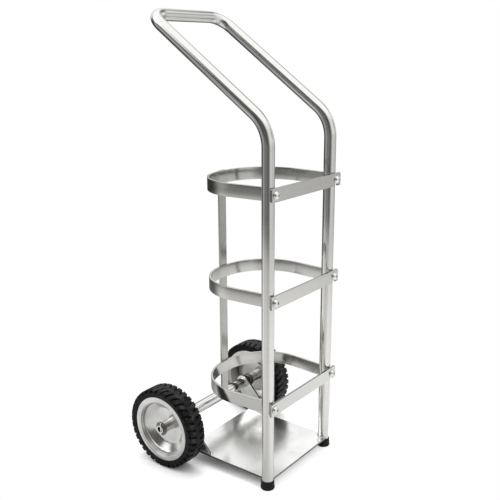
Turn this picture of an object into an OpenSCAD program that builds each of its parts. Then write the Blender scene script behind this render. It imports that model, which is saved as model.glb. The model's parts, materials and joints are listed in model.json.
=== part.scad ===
// Trolley for one gas cylinder, welded from stainless-steel tube, strip and plate.
// The cart stands on two capped feet and two wheels, with +Z up and its front towards -Y.
// Every module is drawn in the cart's own frame, where y = 0 is the plane of the two
// uprights, and in_frame() then moves it so that the origin is the middle of its footprint.

/* [Frame tube] */
// Outside diameter of the frame tube
tube_d = 28; // [24:1:32]
// Wall of the frame tube
tube_wall = 2; // [1.5:0.1:3]
// Distance between the axes of the two uprights
upright_spacing = 244; // [210:1:300]
// Height of the uprights below their bends
upright_top = 789; // [750:1:860]
// Radius of the bend at the top of each upright
upright_bend_r = 85; // [60:1:110]
// Angle of the handle from the vertical
handle_angle = 54.7; // [40:0.1:65]
// Straight length of each side of the handle
handle_side = 311; // [200:1:350]
// Radius of the two corners of the handle
handle_corner_r = 42; // [32:1:80]

/* [Foot caps] */
// Height of the rubber cap on each foot
cap_height = 22; // [15:1:30]
// Wall of the cap round the tube
cap_wall = 1.6; // [1:0.1:3]
// Rubber under the end of the tube
cap_floor = 4; // [2:0.5:8]
// Bevel round the sole of the cap
cap_bevel = 1.2; // [0.5:0.1:2]

/* [Base plate] */
// Depth of the base plate, front to back
plate_depth = 255; // [220:1:270]
// Thickness of the base plate
plate_t = 5; // [3:0.5:8]
// How far the plate's front edge stands ahead of the axes of the uprights
plate_front = 12; // [4:0.5:13]
// How far the plate's sides stand outside the axes of the uprights
plate_side = 5.5; // [3:0.5:12]

/* [Hoops] */
// Height of the flat strip that the hoops are bent from
hoop_h = 30; // [20:1:40]
// Thickness of that strip
hoop_t = 5; // [3:0.5:6]
// Depth of a hoop, from the axes of the uprights to its outer face at the back
hoop_depth = 223; // [210:1:240]
// How far the widest part of a hoop stands outside the axes of the uprights
hoop_bulge = 10; // [6:0.5:14]
// Width of the flat at the back of a hoop, where the upright strip is welded on
hoop_flat = 24; // [4:1:40]
// Height of the middle of the lowest hoop
hoop_low_z = 205; // [190:1:230]
// Height of the middle of the second hoop
hoop_middle_z = 458; // [440:1:490]
// Height of the middle of the top hoop
hoop_top_z = 693; // [680:1:720]
// Width of the upright strip that joins the backs of the hoops
strip_w = 25; // [15:1:40]
// Thickness of the upright strip
strip_t = 5; // [3:0.5:6]
// Height of the lower end of the upright strip
strip_bottom_z = 118; // [115:1:160]

/* [Retaining bars] */
// Height of a retaining bar
bar_h = 30; // [24:1:36]
// Thickness of a retaining bar
bar_t = 5; // [3:0.5:6]
// How far a bar runs past the axis of the upright at its hinged end
bar_tail = 14; // [12:0.5:20]
// How far a bar runs past the axis of the upright at its slotted end
bar_hook = 17; // [13:0.5:24]
// Width of the open slot that drops over the latch screw
slot_w = 12; // [11.6:0.1:13]
// Radius of a bar's corners
bar_corner_r = 3; // [1:0.5:5]

/* [Screws] */
// Diameter of the screws that hold the bars
screw_d = 10; // [8:0.5:10]
// Diameter of a screw's button head
head_d = 17.5; // [16:0.5:20]
// Height of a screw's button head
head_h = 5.5; // [4:0.1:6]
// Width across the flats of the hexagon socket
socket_af = 6; // [4:0.5:7]
// Depth of the hexagon socket
socket_depth = 3; // [2:0.1:3.5]
// Diameter of the washer under a screw's head
washer_d = 20; // [18:0.5:24]
// Thickness of the washer under a screw's head
washer_t = 2; // [1:0.1:3]
// Diameter of the tapped boss on the upright
boss_d = 17; // [14:0.5:18]
// Height of the boss in front of the tube
boss_h = 1.2; // [0.8:0.1:3]
// Length of the screw behind the face of the boss
screw_reach = 9; // [6:0.5:11]

/* [Axle] */
// Distance of the axle behind the axes of the uprights
axle_y = 262; // [256:1:280]
// Outside diameter of the axle tube
axle_tube_d = 28; // [26:1:32]
// Wall of the axle tube
axle_tube_wall = 2; // [1.5:0.1:2.5]
// Length of the axle tube
axle_tube_length = 294; // [284:1:360]
// Diameter of the axle that the wheels turn on
axle_d = 20; // [16:0.5:21]
// Wall of the hollow axle
axle_wall = 3; // [2:0.1:5]
// Length of each collar that centres the axle in its tube
collar_length = 20; // [10:1:40]
// Axle left outside the split pin
axle_nose = 2.5; // [1.5:0.1:8]
// Thickness of the gussets between the plate and the axle tube
gusset_t = 5; // [3:0.5:6]
// Width of a gusset's round end outside the axle tube
gusset_border = 6; // [3:0.5:8]
// Length of a gusset along the base plate
gusset_base = 72; // [50:1:90]
// Height of the blunt front end of a gusset
gusset_toe = 5; // [2:0.5:10]

/* [Wheels] */
// Outside diameter of the tyre
wheel_d = 200; // [190:1:220]
// Width of the tyre
tyre_w = 54; // [52:1:64]
// Diameter of the rim's lips
lip_d = 162; // [154:1:166]
// Inside diameter of the rim's well
well_d = 135; // [128:1:140]
// Width of the rim
rim_w = 49; // [46:1:50]
// Thickness of the rim and of the dished disc
sheet_t = 2; // [1.5:0.1:2.5]
// Diameter of the flat middle of the dished disc
disc_flat_d = 88; // [60:1:100]
// Depth of the dish from the outer lip to the flat middle
dish_depth = 26; // [22:0.5:40]
// Rise of the disc's cone from the flat middle to the well
cone_rise = 13; // [8:0.5:13]
// Length of the disc's skirt along the well
skirt_length = 8; // [4:0.5:12]
// Outside diameter of the hub barrel
hub_d = 27; // [26:0.5:32]
// Length of the hub with its bushes
hub_length = 47.5; // [42:0.5:60]
// Distance from the hub's inner end to the middle of the wheel
hub_inset = 28.5; // [26.5:0.5:32]
// Wall of the bushes
bush_wall = 1.6; // [1:0.1:2]
// Thickness of a bush's flange
bush_flange_t = 1.5; // [1:0.1:2.5]
// Length of a bush inside the barrel
bush_length = 15; // [8:0.5:18]
// Number of tread lugs on each shoulder of the tyre
lug_count = 36; // [32:1:46]
// Width of the groove between two lugs
groove_w = 6; // [3:0.5:6]
// Depth of the grooves
groove_depth = 3.5; // [1:0.5:4]
// Slant of the grooves across the tread
groove_slant = 20; // [0:1:20]
// Width of the plain rib between the two rows of lugs
rib_w = 12; // [8:1:16]
// Radius of the tyre's shoulders
shoulder_r = 7; // [5:0.5:9]
// Rise of the tyre's side from the rim's lip to its full width
bead_swell = 3; // [2:0.5:5]
// Diameter of the washers at the ends of the hubs
axle_washer_d = 34; // [28:0.5:40]
// Thickness of those washers
axle_washer_t = 2; // [1.5:0.1:3]
// Diameter of the split pins' wire
pin_d = 3.2; // [2.5:0.1:4]
// How far a split pin stands out of the axle on each side
pin_stand = 6; // [4:0.5:10]

/* [Clearances] */
// Running gap between a bar and the faces on either side of it
bar_gap = 0.1; // [0.05:0.01:0.3]
// Radial clearance of a bar's hole on its hinge screw
hinge_clearance = 0.08; // [0.03:0.01:0.1]
// Gap between the top of a bar's slot and the latch screw
slot_rest_gap = 0.1; // [0.05:0.01:0.3]
// Radial clearance of the bushes on the axle
bush_clearance = 0.08; // [0.03:0.01:0.1]
// End play on each side of a washer on the axle
end_play = 0.25; // [0.1:0.05:0.5]
// Radial clearance of a fixed pin or screw in its hole
fixed_clearance = 0.05; // [0.02:0.01:0.1]

/* [Hidden] */
$fn = 72;
// Depth by which a cutting body runs past the face that it cuts
cut = 1;
// Sine of the angle at which a hoop's sides close in. Its cosine, 0.99712, is as short, so
// that the turned sides and the bends at the back get exactly the same corners
flare_sine = 0.07584;

tube_r = tube_d / 2;
upright_x = upright_spacing / 2;
wheel_r = wheel_d / 2;

// Base plate
plate_top = cap_height + plate_t;
plate_x = upright_x + plate_side;
plate_back = plate_depth - plate_front;

// Hoops: a flat back, a bend at each side of it, and straight sides that run into the uprights
hoop_r = upright_x + hoop_bulge - hoop_flat / 2;
hoop_centre_y = hoop_depth - hoop_r;
hoop_flare = asin(flare_sine);
hoop_side = (hoop_centre_y - hoop_r * flare_sine) / cos(hoop_flare);
strip_top = hoop_top_z + hoop_h / 2;

// Faces in front of an upright, as distances from its axis
boss_face = tube_r + boss_h;
bar_back = boss_face + bar_gap;
bar_front = bar_back + bar_t;
washer_back = bar_front + bar_gap;
head_back = washer_back + washer_t;
head_front = head_back + head_h;
screw_tip = boss_face - screw_reach;
slot_drop = (slot_w - screw_d) / 2 - slot_rest_gap;

// Places along the axle, as distances from the middle of the cart
axle_tube_end = axle_tube_length / 2;
inner_washer_x = axle_tube_end + end_play;
hub_inner_x = inner_washer_x + axle_washer_t + end_play;
wheel_x = hub_inner_x + hub_inset;
outer_washer_x = hub_inner_x + hub_length + end_play;
pin_x = outer_washer_x + axle_washer_t + end_play + pin_d / 2;
axle_end = pin_x + pin_d / 2 + axle_nose;

// Wheel: distances outwards from its middle plane
well_r = well_d / 2;
seat_r = well_r + sheet_t;
lip_r = lip_d / 2;
rim_side = rim_w / 2;
disc_face = rim_side - dish_depth;
barrel_inner = bush_flange_t - hub_inset;
barrel_outer = hub_length - hub_inset - bush_flange_t;
barrel_length = barrel_outer - barrel_inner;
bush_bore_r = axle_d / 2 + bush_clearance;
bush_r = bush_bore_r + bush_wall;
washer_bore_r = axle_d / 2 + fixed_clearance;

// Gussets: how far their straight edges end inside the round end
gusset_r = axle_tube_d / 2 + gusset_border;
edge_lap = 1;

// Middle of the cart's footprint, behind the uprights
front_y = -head_front;
handle_rise = handle_side + handle_corner_r;
handle_back_y = upright_bend_r * (1 - cos(handle_angle)) + handle_rise * sin(handle_angle) + tube_r;
back_y = max(axle_y + wheel_r, handle_back_y);
middle_y = (front_y + back_y) / 2;

STEEL = "silver";
BRUSHED = "lightgray";
RUBBER = "dimgray";
BRONZE = "darkgoldenrod";

// ---- Placing ----

module in_frame() {
    translate([0, -middle_y, 0]) children();
}

// Local +Z runs outwards along the axle, from the wheel's middle plane
module on_wheel(side) {
    in_frame() translate([side * wheel_x, axle_y, wheel_r]) rotate([0, side * 90, 0]) children();
}

// Local +Z runs forwards from the axis of an upright, at a hoop's height
module at_screw(side, z) {
    in_frame() translate([side * upright_x, 0, z]) rotate([90, 0, 0]) children();
}

module at_every_screw(sides) {
    for (side = sides, z = [hoop_low_z, hoop_middle_z, hoop_top_z]) {
        at_screw(side, z) children();
    }
}

module ring(outer_r, inner_r, h) {
    difference() {
        cylinder(r = outer_r, h = h);
        translate([0, 0, -cut]) cylinder(r = inner_r, h = h + 2 * cut);
    }
}

// ---- Frame tube: two bent uprights and the handle that is welded to their ends ----

// An upright and its bend, drawn solid with radius r from the height start
module upright_run(side, r, start) {
    translate([side * upright_x, 0, start]) cylinder(r = r, h = upright_top - start);
    translate([side * upright_x, upright_bend_r, upright_top]) rotate([90, 0, -90])
        rotate_extrude(angle = handle_angle) translate([upright_bend_r, 0]) circle(r = r);
}

module upright(side) {
    color(STEEL) difference() {
        in_frame() upright_run(side, tube_r, cap_floor);
        in_frame() upright_run(side, tube_r - tube_wall, cap_floor - cut);
        at_every_screw([side]) cylinder(r = screw_d / 2 + fixed_clearance, h = tube_r + cut);
    }
}

// Local +Z runs along the handle, from the end of the uprights' bends
module on_handle() {
    translate([0, upright_bend_r, upright_top]) rotate([-handle_angle, 0, 0])
        translate([0, -upright_bend_r, 0]) children();
}

module handle_run(r) {
    corner_x = upright_x - handle_corner_r;
    for (turn = [0, 1]) {
        mirror([turn, 0, 0]) {
            translate([upright_x, 0, 0]) cylinder(r = r, h = handle_side);
            translate([corner_x, 0, handle_side]) rotate([90, 0, 0])
                rotate_extrude(angle = 90) translate([handle_corner_r, 0]) circle(r = r);
        }
    }
    translate([-corner_x, 0, handle_side + handle_corner_r]) rotate([0, 90, 0])
        cylinder(r = r, h = 2 * corner_x);
}

module handle() {
    color(STEEL) in_frame() on_handle() difference() {
        handle_run(tube_r);
        handle_run(tube_r - tube_wall);
    }
}

module foot_cap(side) {
    sole_r = tube_r + cap_wall;
    color(RUBBER) in_frame() translate([side * upright_x, 0, 0]) difference() {
        rotate_extrude() polygon([
            [0, 0], [sole_r - cap_bevel, 0], [sole_r, cap_bevel],
            [sole_r, cap_height], [0, cap_height]
        ]);
        translate([0, 0, cap_floor]) cylinder(r = tube_r, h = cap_height);
    }
}

// ---- Base plate, hoops and rear strip ----

module upright_cutters() {
    for (side = [-1, 1]) {
        translate([side * upright_x, 0, 0]) cylinder(r = tube_r, h = upright_top);
    }
}

module base_plate() {
    color(STEEL) in_frame() difference() {
        translate([0, 0, cap_height]) linear_extrude(plate_t) {
            translate([-upright_x, -plate_front]) square([2 * upright_x, plate_depth]);
            translate([-plate_x, 0]) square([2 * plate_x, plate_back]);
        }
        upright_cutters();
    }
}

// The bend and the straight side at the right of a hoop, drawn about the centre of the bend
module hoop_half() {
    difference() {
        ring(hoop_r, hoop_r - hoop_t, hoop_h);
        translate([-2 * hoop_r, -2 * hoop_r, -cut])
            cube([2 * hoop_r, 4 * hoop_r, hoop_h + 2 * cut]);
        along_side() translate([-hoop_r, -2 * hoop_r, -cut])
            cube([3 * hoop_r, 2 * hoop_r, hoop_h + 2 * cut]);
    }
    along_side() translate([hoop_r - hoop_t, -hoop_side, 0])
        cube([hoop_t, hoop_side, hoop_h]);
}

// Local Y runs along the straight side of a hoop, from the end of its bend
module along_side() {
    rotate([0, 0, -hoop_flare]) children();
}

module hoop(z) {
    color(BRUSHED) in_frame() difference() {
        translate([0, hoop_centre_y, z - hoop_h / 2]) {
            translate([-hoop_flat / 2, hoop_r - hoop_t, 0]) cube([hoop_flat, hoop_t, hoop_h]);
            for (left = [0, 1]) {
                mirror([left, 0, 0]) translate([hoop_flat / 2, 0, 0]) hoop_half();
            }
        }
        upright_cutters();
    }
}

module rear_strip() {
    color(BRUSHED) in_frame() translate([-strip_w / 2, hoop_depth, strip_bottom_z])
        cube([strip_w, strip_t, strip_top - strip_bottom_z]);
}

// ---- Retaining bars and their screws ----

module rounded_bar(left, right, h, r) {
    translate([left + r, -h / 2]) square([right - left - 2 * r, h]);
    translate([left, r - h / 2]) square([right - left, h - 2 * r]);
    for (x = [left + r, right - r], y = [r - h / 2, h / 2 - r]) {
        translate([x, y]) circle(r = r);
    }
}

module bar(z) {
    color(BRUSHED) in_frame() translate([0, -bar_back, z]) rotate([90, 0, 0])
        linear_extrude(bar_t) difference() {
            rounded_bar(-upright_x - bar_tail, upright_x + bar_hook, bar_h, bar_corner_r);
            translate([-upright_x, 0]) circle(r = screw_d / 2 + hinge_clearance);
            translate([upright_x, -slot_drop]) circle(d = slot_w);
            translate([upright_x - slot_w / 2, -bar_h]) square([slot_w, bar_h - slot_drop]);
        }
}

module screw() {
    dome_r = (head_d * head_d / 4 + head_h * head_h) / (2 * head_h);
    translate([0, 0, screw_tip]) cylinder(d = screw_d, h = head_back - screw_tip);
    translate([0, 0, head_back]) difference() {
        intersection() {
            cylinder(d = head_d, h = head_h);
            translate([0, 0, head_h - dome_r]) sphere(r = dome_r);
        }
        translate([0, 0, head_h - socket_depth])
            cylinder(d = socket_af / cos(30), h = socket_depth + cut, $fn = 6);
    }
}

module hinge_screws() {
    color(STEEL) at_every_screw([-1]) screw();
}

module latch_screws() {
    color(STEEL) at_every_screw([1]) screw();
}

module screw_washers() {
    color(STEEL) at_every_screw([-1, 1]) translate([0, 0, washer_back])
        ring(washer_d / 2, screw_d / 2 + fixed_clearance, washer_t);
}

module screw_bosses() {
    color(STEEL) at_every_screw([-1, 1]) difference() {
        cylinder(d = boss_d, h = boss_face);
        cylinder(r = screw_d / 2 + fixed_clearance, h = boss_face + cut);
        rotate([90, 0, 0]) cylinder(r = tube_r, h = 2 * boss_d, center = true);
    }
}

// ---- Axle and its gussets ----

module along_axle(length) {
    in_frame() translate([-length / 2, axle_y, wheel_r]) rotate([0, 90, 0]) children();
}

module axle_tube() {
    color(STEEL) along_axle(axle_tube_length)
        ring(axle_tube_d / 2, axle_tube_d / 2 - axle_tube_wall, axle_tube_length);
}

module axle_collars() {
    color(STEEL) for (side = [-1, 1]) {
        in_frame() translate([side * (axle_tube_end - collar_length / 2), axle_y, wheel_r])
            rotate([0, 90, 0]) translate([0, 0, -collar_length / 2])
                ring(axle_tube_d / 2 - axle_tube_wall, axle_d / 2, collar_length);
    }
}

module axle() {
    color(STEEL) difference() {
        along_axle(2 * axle_end) ring(axle_d / 2, axle_d / 2 - axle_wall, 2 * axle_end);
        in_frame() for (side = [-1, 1]) {
            translate([side * pin_x, axle_y, wheel_r])
                cylinder(r = pin_d / 2 + fixed_clearance, h = axle_d + 2 * cut, center = true);
        }
    }
}

// Where a straight edge of a gusset that starts at foot runs into the gusset's round end.
// side is 1 for the edge at the back and -1 for the edge in front
function edge_end(foot, side) =
    let (
        middle = [axle_y, wheel_r],
        run = middle - foot,
        turn = 180 + atan2(run[1], run[0]) + side * acos(gusset_r / norm(run))
    )
    middle + (gusset_r - edge_lap) * [cos(turn), sin(turn)];

// A gusset seen from the side: a foot along the plate and a round end about the axle tube
module gusset_outline() {
    back = [plate_back, plate_top];
    toe = [plate_back - gusset_base, plate_top + gusset_toe];
    translate([axle_y, wheel_r]) circle(r = gusset_r);
    polygon([[toe[0], plate_top], back, edge_end(back, 1), edge_end(toe, -1), toe]);
}

module gusset(side) {
    inner_x = side > 0 ? plate_x - gusset_t : -plate_x;
    color(STEEL) in_frame() difference() {
        translate([inner_x, 0, 0]) rotate([90, 0, 90]) linear_extrude(gusset_t)
            gusset_outline();
        translate([0, axle_y, wheel_r]) rotate([0, 90, 0])
            cylinder(d = axle_tube_d, h = axle_tube_length, center = true);
    }
}

module axle_washers() {
    color(STEEL) for (side = [-1, 1], x = [inner_washer_x, outer_washer_x]) {
        in_frame() translate([side * (x + axle_washer_t / 2), axle_y, wheel_r])
            rotate([0, 90, 0]) translate([0, 0, -axle_washer_t / 2])
                ring(axle_washer_d / 2, washer_bore_r, axle_washer_t);
    }
}

module split_pins() {
    eye_r = pin_d * 0.9;
    shank = axle_d + 2 * pin_stand;
    color(STEEL) for (side = [-1, 1]) {
        in_frame() translate([side * pin_x, axle_y, wheel_r]) {
            cylinder(d = pin_d, h = shank, center = true);
            translate([0, 0, shank / 2 + eye_r]) rotate([0, 90, 0])
                rotate_extrude() translate([eye_r + pin_d / 4, 0]) circle(d = pin_d / 2);
        }
    }
}

// ---- Wheels ----

// A point of the tyre's outline on its shoulder, from 0 at the sidewall to 90 at the crown
function on_shoulder(turn) = [
    wheel_r - shoulder_r * (1 - sin(turn)),
    tyre_w / 2 - shoulder_r * (1 - cos(turn))
];

module tyre_blank() {
    bead = rim_side - sheet_t;
    half = [
        [seat_r, bead], [lip_r, bead], [lip_r, rim_side], [lip_r + bead_swell, tyre_w / 2],
        for (turn = [0, 45, 90]) on_shoulder(turn)
    ];
    rotate_extrude() polygon([
        for (point = half) [point[0], -point[1]],
        for (i = [len(half) - 1 : -1 : 0]) half[i]
    ]);
}

// One groove across the half of the tread that faces local +Z
module groove() {
    translate([wheel_r - groove_depth, 0, tyre_w / 4]) rotate([groove_slant, 0, 0])
        translate([0, -groove_w / 2, rib_w / 2 - tyre_w / 4])
            cube([2 * groove_depth, groove_w, tyre_w / 2]);
}

module tyre(side) {
    pitch = 360 / lug_count;
    color(RUBBER) on_wheel(side) difference() {
        tyre_blank();
        for (lug = [0 : lug_count - 1]) {
            rotate([0, 0, lug * pitch]) groove();
            rotate([0, 0, (lug + 0.5) * pitch]) mirror([0, 0, 1]) groove();
        }
    }
}

module rim(side) {
    color(BRUSHED) on_wheel(side) rotate_extrude() {
        translate([well_r, -rim_side]) square([sheet_t, rim_w]);
        for (face = [-rim_side, rim_side - sheet_t]) {
            translate([well_r, face]) square([lip_r - well_r, sheet_t]);
        }
    }
}

module disc(side) {
    flat_r = disc_flat_d / 2;
    foot = disc_face + cone_rise;
    color(BRUSHED) on_wheel(side) rotate_extrude() polygon([
        [hub_d / 2, disc_face - sheet_t], [flat_r, disc_face - sheet_t],
        [well_r, foot - sheet_t], [well_r, foot + skirt_length],
        [well_r - sheet_t, foot + skirt_length], [well_r - sheet_t, foot],
        [flat_r, disc_face], [hub_d / 2, disc_face]
    ]);
}

module hub(side) {
    color(BRUSHED) on_wheel(side) translate([0, 0, barrel_inner])
        ring(hub_d / 2, bush_r, barrel_length);
}

module bushes(side) {
    color(BRONZE) on_wheel(side) {
        translate([0, 0, barrel_inner]) bush();
        translate([0, 0, barrel_outer]) mirror([0, 0, 1]) bush();
    }
}

// A flanged bush whose flange ends at z = 0 and whose sleeve runs up +Z
module bush() {
    difference() {
        union() {
            translate([0, 0, -bush_flange_t]) cylinder(d = hub_d, h = bush_flange_t);
            cylinder(r = bush_r, h = bush_length);
        }
        translate([0, 0, -bush_flange_t - cut])
            cylinder(r = bush_bore_r, h = bush_length + bush_flange_t + 2 * cut);
    }
}

upright(-1);  // upright_left
upright(1);  // upright_right
handle();
foot_cap(-1);  // foot_cap_left
foot_cap(1);  // foot_cap_right
base_plate();
hoop(hoop_low_z);  // hoop_low
hoop(hoop_middle_z);  // hoop_middle
hoop(hoop_top_z);  // hoop_top
rear_strip();
gusset(-1);  // gusset_left
gusset(1);  // gusset_right
axle_tube();
axle_collars();
axle();
screw_bosses();
hinge_screws();
latch_screws();
screw_washers();
bar(hoop_low_z);  // bar_low
bar(hoop_middle_z);  // bar_middle
bar(hoop_top_z);  // bar_top
tyre(-1);  // tyre_left
rim(-1);  // rim_left
disc(-1);  // disc_left
hub(-1);  // hub_left
bushes(-1);  // bushes_left
tyre(1);  // tyre_right
rim(1);  // rim_right
disc(1);  // disc_right
hub(1);  // hub_right
bushes(1);  // bushes_right
axle_washers();
split_pins();
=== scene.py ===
# %% [markdown]
# # A stainless-steel trolley for one gas cylinder
# The frame is one bent tube, three strip hoops hold the cylinder, a flat bar closes each hoop
# at the front, and two rubber-tyred wheels sit behind the base plate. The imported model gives
# every part's true place, so the script loads it first and dresses it: new surfaces where the
# real part has softer or finer forms, and a node material everywhere.

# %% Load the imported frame
import json
import math
from collections import namedtuple

import bpy
import numpy as np
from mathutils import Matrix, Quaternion, Vector


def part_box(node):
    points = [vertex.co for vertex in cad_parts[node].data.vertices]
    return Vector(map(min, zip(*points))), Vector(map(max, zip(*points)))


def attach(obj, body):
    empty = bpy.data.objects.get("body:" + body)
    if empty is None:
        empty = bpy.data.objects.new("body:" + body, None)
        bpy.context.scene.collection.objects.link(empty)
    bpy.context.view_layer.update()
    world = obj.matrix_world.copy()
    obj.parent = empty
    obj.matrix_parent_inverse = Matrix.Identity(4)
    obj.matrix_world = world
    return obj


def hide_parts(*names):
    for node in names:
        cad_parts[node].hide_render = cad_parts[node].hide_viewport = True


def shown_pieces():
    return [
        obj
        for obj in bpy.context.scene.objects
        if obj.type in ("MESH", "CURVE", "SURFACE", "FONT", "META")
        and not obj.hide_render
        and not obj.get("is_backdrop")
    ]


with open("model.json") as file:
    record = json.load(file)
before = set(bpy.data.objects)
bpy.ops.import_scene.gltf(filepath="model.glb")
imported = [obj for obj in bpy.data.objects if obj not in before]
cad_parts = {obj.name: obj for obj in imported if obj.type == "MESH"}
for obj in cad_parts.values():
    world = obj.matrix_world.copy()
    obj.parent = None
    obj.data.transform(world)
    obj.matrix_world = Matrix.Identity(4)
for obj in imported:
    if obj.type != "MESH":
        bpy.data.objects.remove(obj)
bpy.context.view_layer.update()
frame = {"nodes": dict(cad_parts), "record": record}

MM = 0.001
nodes = frame["nodes"]

# %% [markdown]
# ## The camera
# A product camera stands to the left and a little above. Its lens is given as a focal length
# in pixels of a square frame, which turns into millimetres on a 36 mm sensor.

# %% Camera
IMAGE_SIDE = 500
FOCAL_PIXELS = 732.73
HEADING, PITCH, ROLL = math.radians(52.71), math.radians(15.08), math.radians(-0.28)

camera_data = bpy.data.cameras.new("camera")
camera_data.sensor_width = 36
camera_data.lens = 36 * FOCAL_PIXELS / IMAGE_SIDE
camera = bpy.data.objects.new("camera", camera_data)
bpy.context.scene.collection.objects.link(camera)
bpy.context.scene.camera = camera
camera.location = (-1.3419, -1.0477, 0.9785)
looks_along = Vector((
    math.sin(HEADING) * math.cos(PITCH), math.cos(HEADING) * math.cos(PITCH), -math.sin(PITCH)
))
camera.rotation_mode = "QUATERNION"
camera.rotation_quaternion = looks_along.to_track_quat("-Z", "Y") @ Quaternion((0, 0, 1), ROLL)
print("lens", round(camera_data.lens, 2), "mm")

# %% [markdown]
# ## Surfaces from arrays
# Every new piece is a grid of points: one parameter runs round a section, the other runs along
# a path or round an axle. A whole grid is worked out at once as an array, and this helper turns
# it into a mesh. The map in metres that it writes lets a brushed grain follow the metal.

# %% Mesh helpers
def travelled(points):
    """Distance from the first point to each point of a run, and from the last back to the first."""
    steps = np.linalg.norm(np.roll(points, -1, 0) - points, axis=1)
    return np.concatenate([[0.0], np.cumsum(steps)])


def grid(points, round_u=False, round_v=False, ends=False):
    """Vertices, faces and map of points[i, j]. Each square between four neighbours is a face, and
    the map is the distance travelled along i and along j. Where the sum of (a x b) . c over the
    corners a, b, c of all faces is negative, they look inwards, so they are turned round. With
    ends, one flat face closes the first section and one the last."""
    nu, nv = points.shape[:2]
    across, along = nu - (not round_u), nv - (not round_v)
    i, j = np.meshgrid(np.arange(across), np.arange(along), indexing="ij")
    corner_i = np.stack([i, i + 1, i + 1, i], -1).reshape(-1, 4)
    corner_j = np.stack([j, j, j + 1, j + 1], -1).reshape(-1, 4)
    quads = (corner_i % nu) * nv + corner_j % nv
    along_u, along_v = travelled(points[:, nv // 2]), travelled(points[nu // 2])
    uv = np.stack([along_u[corner_i], along_v[corner_j]], -1)
    flat = points.reshape(-1, 3)
    a, b, c, d = np.moveaxis((flat - flat.mean(0))[quads], 1, 0)
    inward = np.sum(np.cross(a, b) * c) + np.sum(np.cross(a, c) * d) < 0
    if inward:
        quads, uv = quads[:, ::-1], uv[:, ::-1]
    faces, uv = quads.tolist(), uv.reshape(-1, 2)
    if ends:
        index = np.arange(nu * nv).reshape(nu, nv)
        first, last = (index[:, 0], index[::-1, -1]) if inward else (index[::-1, 0], index[:, -1])
        faces += [first.tolist(), last.tolist()]
        uv = np.vstack([uv, np.zeros((2 * nu, 2))])
    return flat, faces, uv


def mesh_from(name, *grids):
    """One mesh of several grids, smooth but for its sharp corners, with its map in metres."""
    mesh = bpy.data.meshes.new(name)
    starts = np.cumsum([0] + [len(flat) for flat, _, _ in grids])
    faces = []
    for start, (_, part, _) in zip(starts, grids):
        faces += [[int(start) + corner for corner in face] for face in part]
    mesh.from_pydata(np.vstack([flat for flat, _, _ in grids]), [], faces)
    uv = np.vstack([uv for _, _, uv in grids]).astype(np.float32)
    mesh.uv_layers.new(name="metres").data.foreach_set("uv", uv.ravel())
    mesh.shade_smooth()
    mesh.set_sharp_from_angle(angle=math.radians(35))
    return mesh


def as_piece(mesh, body, slot, replaces=()):
    """An object at the origin that rides on a body and stands for the named nodes."""
    piece = bpy.data.objects.new(mesh.name, mesh)
    bpy.context.scene.collection.objects.link(piece)
    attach(piece, body)
    slot_of[piece.name] = slot
    if replaces:
        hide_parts(*replaces)
    print(f"{mesh.name}: {len(mesh.polygons)} faces")
    return piece


slot_of = {part["node"]: part["material_slot"] for part in frame["record"]["subparts"]}
print(len(set(slot_of.values())), "material slots in the record")


def swept(path, side, up, section):
    """Points of a section carried along a path: place = path + a * side + b * up, where (a, b)
    runs round the section and side and up are unit vectors at each station of the path."""
    a, b = section[:, 0, None, None], section[:, 1, None, None]
    return path[None] + a * side[None] + b * up[None]


def circle_section(radius, count):
    """Points round a circle, clockwise seen along the path, so that faces turn outwards."""
    turn = np.linspace(0, 2 * np.pi, count, endpoint=False)
    return radius * np.stack([np.cos(turn), np.sin(turn)], -1)


def rounded_section(width, height, radius, count=4):
    """Points round a rectangle whose corners are quarter circles of the given radius. Each corner
    turns through the next quarter of a full turn."""
    quarter = np.linspace(0, np.pi / 2, count)
    middle = np.array([width, height]) / 2 - radius
    corners = []
    for number, sign in enumerate([(1, 1), (-1, 1), (-1, -1), (1, -1)]):
        turn = quarter + number * np.pi / 2
        corners.append(middle * sign + radius * np.stack([np.cos(turn), np.sin(turn)], -1))
    return np.concatenate(corners)


# %% [markdown]
# ## The frame tube
# On the real cart this is one length of 28 mm tube, bent four times and polished from end to
# end. Six separate parts would show seams in every reflection, so it is carried as one circle
# along one path. The path is straight up, leans back round a bend of 85 mm, runs up the
# handle, turns inwards round a corner of 42 mm and crosses over, and its other half is the
# mirror of the first.

# %% Path of the frame tube
FRONT_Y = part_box("upright_left")[0].y + 14 * MM
UPRIGHT_X, TUBE_R = 122 * MM, 14 * MM
UPRIGHT_FOOT, UPRIGHT_TOP, BEND_R = 6 * MM, 789 * MM, 85 * MM
LEAN, HANDLE_SIDE, CORNER_R = math.radians(54.7), 311 * MM, 42 * MM


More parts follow.
